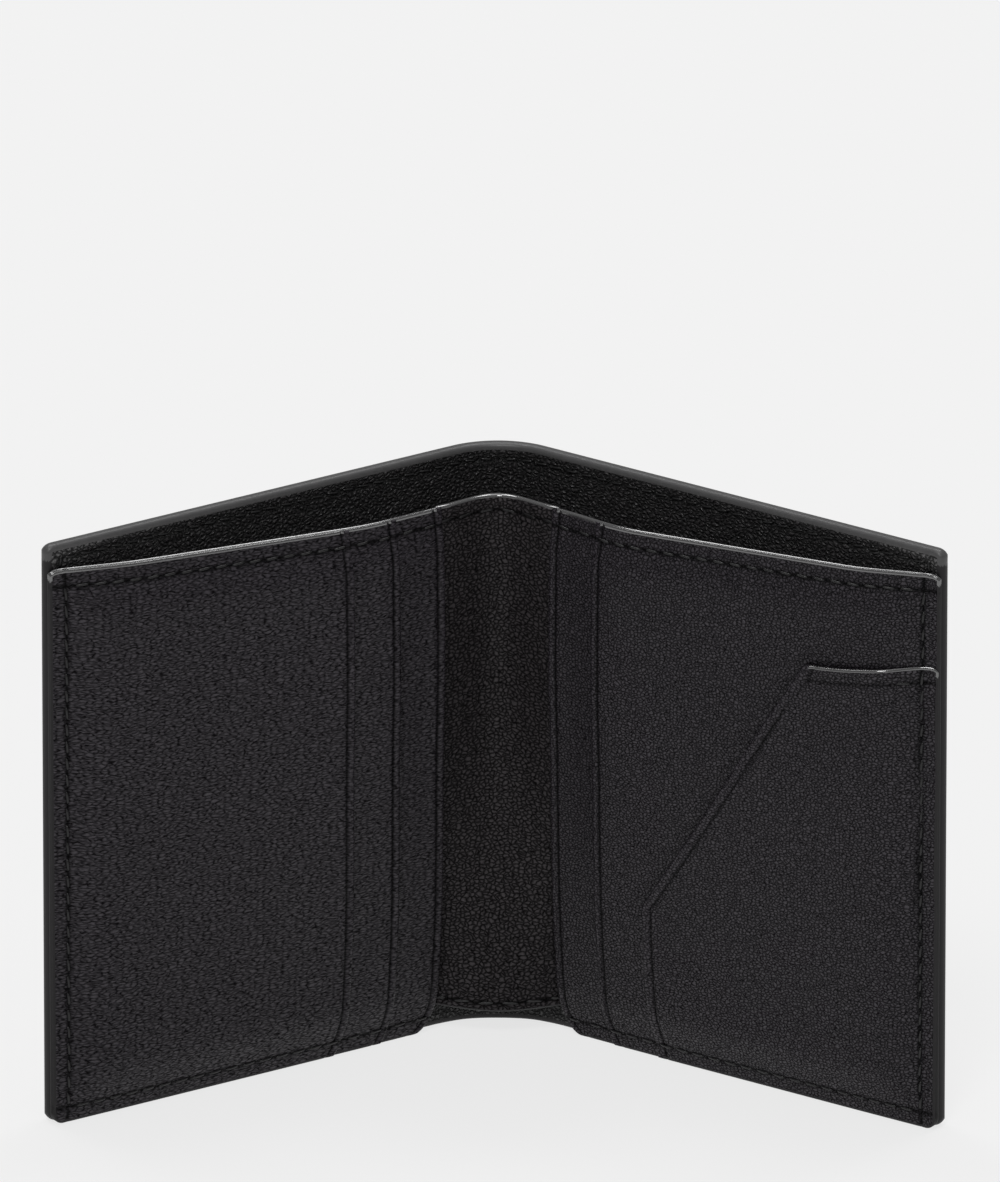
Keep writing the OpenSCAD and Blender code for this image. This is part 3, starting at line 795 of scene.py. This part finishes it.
def stepped(lengths, layers, z, top, side_name):
    """Runs of one row over the stepped pockets, outermost first."""
    starts = [ROW_START] + [edge + AFTER_EDGE for edge in lengths[:-1]]
    return [along_run(start, edge - BEFORE_EDGE, z, layer, top, side_name)
            for start, edge, layer in zip(starts, lengths, layers)]


# Widths of the left pockets, front to back
THREE = (PANEL - 2 * STEP, PANEL - STEP, PANEL)
for name, mirrored, _ in SIDES:
    first, last = 0.8, COVER_ROW - 0.6
    covers[name + "_seam"] = stitch_tubes(f"{name}_cover_stitches", [
        cover_run(first, last, COVER_H - SEAM, 1), cover_up(PANEL_TOP + 0.2, COVER_H - SEAM, COVER_ROW, 1),
        cover_run(first, last, COVER_H - SEAM, -1), cover_run(first, last, SEAM, -1),
        cover_up(SEAM + 0.6, COVER_H - SEAM - 0.6, COVER_ROW, -1)], mirrored)
ob = stitch_tubes("left_edge_stitches", [up_run(LOW_ROW, HIGH_ROW, SIDE_ROW, 3, PANEL_TOP, "left")]
                  + stepped(THREE, (3, 2, 1), LOW_ROW, PANEL_TOP, "left"))
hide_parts("left_edge_seam")
panels["left"].append(ob)
ob = stitch_tubes("left_top_stitches", stepped(THREE, (3, 2, 1), HIGH_ROW, PANEL_TOP, "left"))
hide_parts("left_top_seam")
panels["left"].append(ob)
ob = stitch_tubes("right_edge_stitches",
                  [up_run(LOW_ROW, SLIP_H - 0.8, SIDE_ROW, 3, NO_TOP, "right"),
                   up_run(SLIP_H + 0.8, HIGH_ROW, SIDE_ROW, 2, PANEL_TOP, "right")]
                  + stepped((SLIP_W, PANEL - STEP, PANEL), (3, 2, 1), LOW_ROW, PANEL_TOP, "right"), True)
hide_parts("right_edge_seam")
panels["right"].append(ob)
ob = stitch_tubes("right_top_stitches",
                  stepped((PANEL - STEP, PANEL), (2, 1), HIGH_ROW, PANEL_TOP, "right"), True)
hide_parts("right_top_seam")
panels["right"].append(ob)
ob = stitch_tubes("slip_pocket_stitches",
                  [along_run(ROW_START, SLIP_TOP_W + 0.2, SLIP_H - SEAM, 3, NO_TOP, "right", ROW_SAG)],
                  True)
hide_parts("slip_pocket_seam")
panels["right"].append(ob)


def strip_run(z):
    """Run along half of the strip at height z, from just behind the panel's edge."""
    face = STRIP_HALF_T - SUNK
    return -1.05 * STRIP_UNIT, 0.0, lambda at, side, up: strip_point(at / STRIP_UNIT, face + up, z + side)


for name, mirrored, _ in SIDES:
    ob = stitch_tubes(f"divider_spine_{name}_stitches",
                      [strip_run(STRIP_LOW + STRIP_ROW), strip_run(PANEL_TOP - SEAM)], mirrored)
    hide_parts("divider_spine_seam")
    strips[name].append(ob)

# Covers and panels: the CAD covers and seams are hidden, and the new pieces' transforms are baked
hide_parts("cover_left", "lining_left", "cover_spine", "lining_spine")
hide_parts("cover_right", "lining_right")
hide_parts("left_cover_seam", "spine_seam")
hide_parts("right_cover_seam")
for name, sign in (("left", -1.0), ("right", 1.0)):
    for key in (name, name + "_seam"):
        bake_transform(covers[key])
    for ob in panels[name]:
        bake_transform(ob)
# The strip's halves ride on the spine body, each with a mesh of its own
for name, sign in (("left", 1.0), ("right", -1.0)):
    for ob in strips[name]:
        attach(ob, "spine")
        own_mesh(ob)

# Floor, light and camera
scene = bpy.context.scene

# Half width of the floor in metres, its paleness, the share of it that glows where the camera sees
# it or its reflection, and the light of the sky at the horizon and overhead
FLOOR, PALE, GLOW_SHARE = 6.0, 0.88, 0.85
SKY_LOW, SKY_HIGH = 0.25, 0.4
floor_mesh = bpy.data.meshes.new("floor")
floor_mesh.from_pydata([(-FLOOR, -FLOOR, 0), (FLOOR, -FLOOR, 0), (FLOOR, FLOOR, 0), (-FLOOR, FLOOR, 0)],
                       [], [(0, 1, 2, 3)])
floor = bpy.data.objects.new("floor", floor_mesh)
scene.collection.objects.link(floor)
pale = bpy.data.materials.new("pale_floor")
pale.use_nodes = True
tree = pale.node_tree
shader = tree.nodes["Principled BSDF"]
shader.inputs["Base Color"].default_value = (PALE, PALE, PALE, 1.0)
shader.inputs["Roughness"].default_value = 0.9
shader.inputs["Specular IOR Level"].default_value = 0.0
path = node(tree, "ShaderNodeLightPath")
seen = node(tree, "ShaderNodeMath",
            [(0, path.outputs["Is Camera Ray"]), (1, path.outputs["Is Glossy Ray"])], operation="MAXIMUM")
share = node(tree, "ShaderNodeMath", [(0, seen.outputs[0])], operation="MULTIPLY")
share.inputs[1].default_value = GLOW_SHARE
glow = node(tree, "ShaderNodeEmission", Color=(PALE, PALE, PALE, 1.0), Strength=1.0)
both = node(tree, "ShaderNodeMixShader",
            [(0, share.outputs[0]), (1, shader.outputs[0]), (2, glow.outputs[0])])
tree.links.new(both.outputs[0], tree.nodes["Material Output"].inputs["Surface"])
floor_mesh.materials.append(pale)

world = bpy.data.worlds.new("studio")
scene.world = world
world.use_nodes = True
tree = world.node_tree
where = node(tree, "ShaderNodeTexCoord")
split = node(tree, "ShaderNodeSeparateXYZ", [(0, where.outputs["Generated"])])
level = node(tree, "ShaderNodeMapRange", [("Value", split.outputs["Z"])], From_Min=0.0, From_Max=1.0,
             To_Min=SKY_LOW, To_Max=SKY_HIGH)
path = node(tree, "ShaderNodeLightPath")
pick = node(tree, "ShaderNodeMix",
            [("Factor", path.outputs["Is Camera Ray"]), ("A", level.outputs["Result"])],
            data_type="FLOAT", B=PALE)
tree.links.new(pick.outputs["Result"], tree.nodes["Background"].inputs["Strength"])
tree.nodes["Background"].inputs["Color"].default_value = (1.0, 1.0, 1.0, 1.0)

# A light from the front, a broad one from above, and two that glint on the top edges: strength,
# spread, and turns about X and Y in degrees
LAMPS = (("key_light", 0.95, 16.0, 34.0, -8.0), ("overhead", 0.6, 44.0, -12.0, 0.0),
         ("glint_left", 0.48, 15.0, -18.0, 15.8), ("glint_right", 0.48, 15.0, -18.0, -15.8))
for lamp_name, energy, spread, tilt, turned in LAMPS:
    lamp = bpy.data.lights.new(lamp_name, "SUN")
    lamp.energy, lamp.angle = energy, math.radians(spread)
    sun = bpy.data.objects.new(lamp_name, lamp)
    sun.rotation_euler = (math.radians(tilt), math.radians(turned), 0.0)
    scene.collection.objects.link(sun)

# Far camera fitted to the photograph: its pixels per millimetre, on a plane AIM_DEPTH nearer than
# the origin, where the origin falls in it, and its size
ELEVATION, YAW = math.radians(21.97), math.radians(0.86)
PX_PER_MM, ORIGIN, FRAME_W, FRAME_H = 5.545, (496.5, 1073.1), 1000.0, 1182.0
DISTANCE, AIM_DEPTH = 6000.0, 20.9
turn = Matrix.Rotation(YAW, 3, "Z") @ Matrix.Rotation(math.pi / 2 - ELEVATION, 3, "X")
aim = Vector(((FRAME_W / 2 - ORIGIN[0]) / PX_PER_MM, (ORIGIN[1] - FRAME_H / 2) / PX_PER_MM, AIM_DEPTH))
cam = bpy.data.cameras.new("camera")
cam.sensor_width = 36.0
cam.lens = PX_PER_MM * DISTANCE / FRAME_H * cam.sensor_width
cam.clip_start, cam.clip_end = 0.1, 30.0
camera = bpy.data.objects.new("camera", cam)
camera.location = turn @ (aim + Vector((0.0, 0.0, DISTANCE))) * 0.001
camera.rotation_euler = turn.to_euler()
scene.collection.objects.link(camera)
scene.camera = camera
scene.view_settings.view_transform = "Standard"
